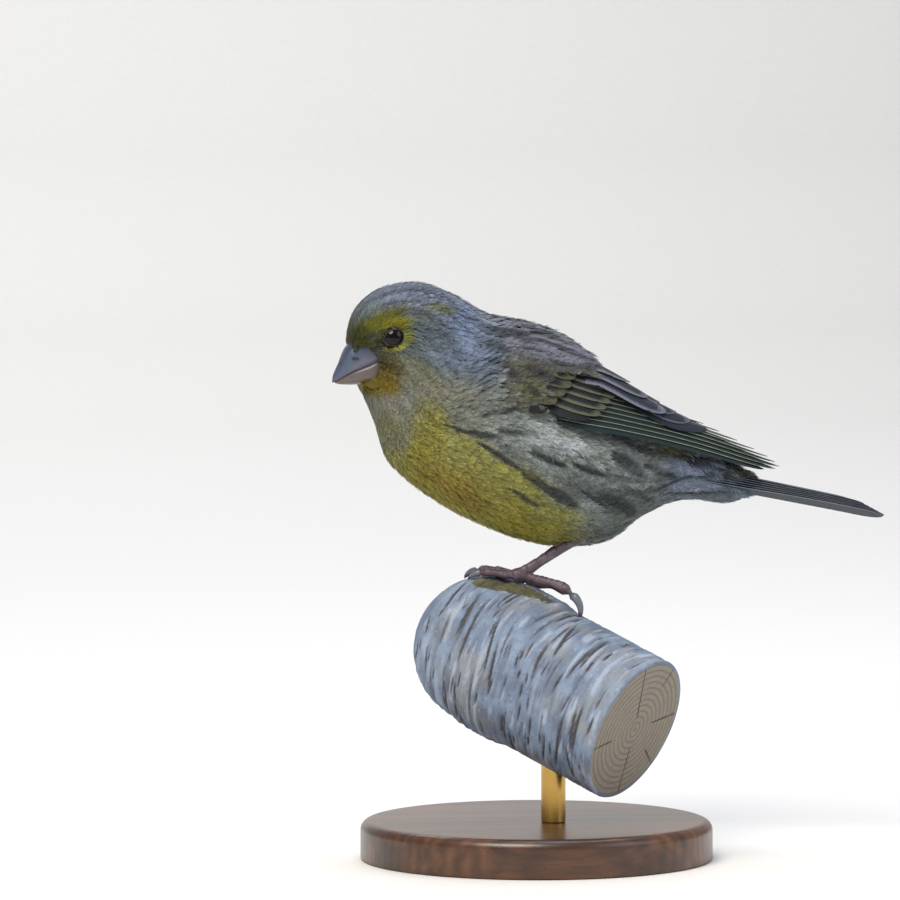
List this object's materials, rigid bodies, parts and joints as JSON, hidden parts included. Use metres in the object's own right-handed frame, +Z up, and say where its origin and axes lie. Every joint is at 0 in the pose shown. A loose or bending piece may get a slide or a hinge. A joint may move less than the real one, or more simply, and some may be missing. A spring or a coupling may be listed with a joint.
{
  "type": "perched canary",
  "caption": "Small finch-like songbird with folded wings and a slightly forked tail, standing on the rounded end of a short cut branch that a rod holds over a round base.",
  "frame": {"origin": "middle of the flat underside of the stand's base", "axes": "+Z up; the bird faces -X and its left side faces -Y"},
  "size_m": [0.1143, 0.072, 0.1178],
  "materials": {
    "crown": "feathers",
    "nape": "feathers",
    "breast": "feathers",
    "rump": "feathers",
    "wing": "feathers",
    "tail": "feathers",
    "bill": "satin horn",
    "eye": "glossy",
    "leg": "scaled skin",
    "claw": "satin horn",
    "bark": "weathered bark",
    "brass": "satin",
    "walnut": "waxed"
  },
  "bodies": {
    "root": {"head": "crown", "bill_upper": "bill", "bill_lower": "bill", "eye_left": "eye", "eye_right": "eye", "neck": "nape", "torso": "breast", "rump": "rump", "wing_left": "wing", "wing_right": "wing", "tail": "tail", "perch": "bark", "stand_base": "walnut", "stand_rod": "brass", "tarsus_left": "leg", "foot_left": "leg", "claw_hallux_left": "claw", "claw_inner_left": "claw", "claw_middle_left": "claw", "claw_outer_left": "claw", "tarsus_right": "leg", "foot_right": "leg", "claw_hallux_right": "claw", "claw_inner_right": "claw", "claw_middle_right": "claw", "claw_outer_right": "claw"}
  },
  "joints": []
}
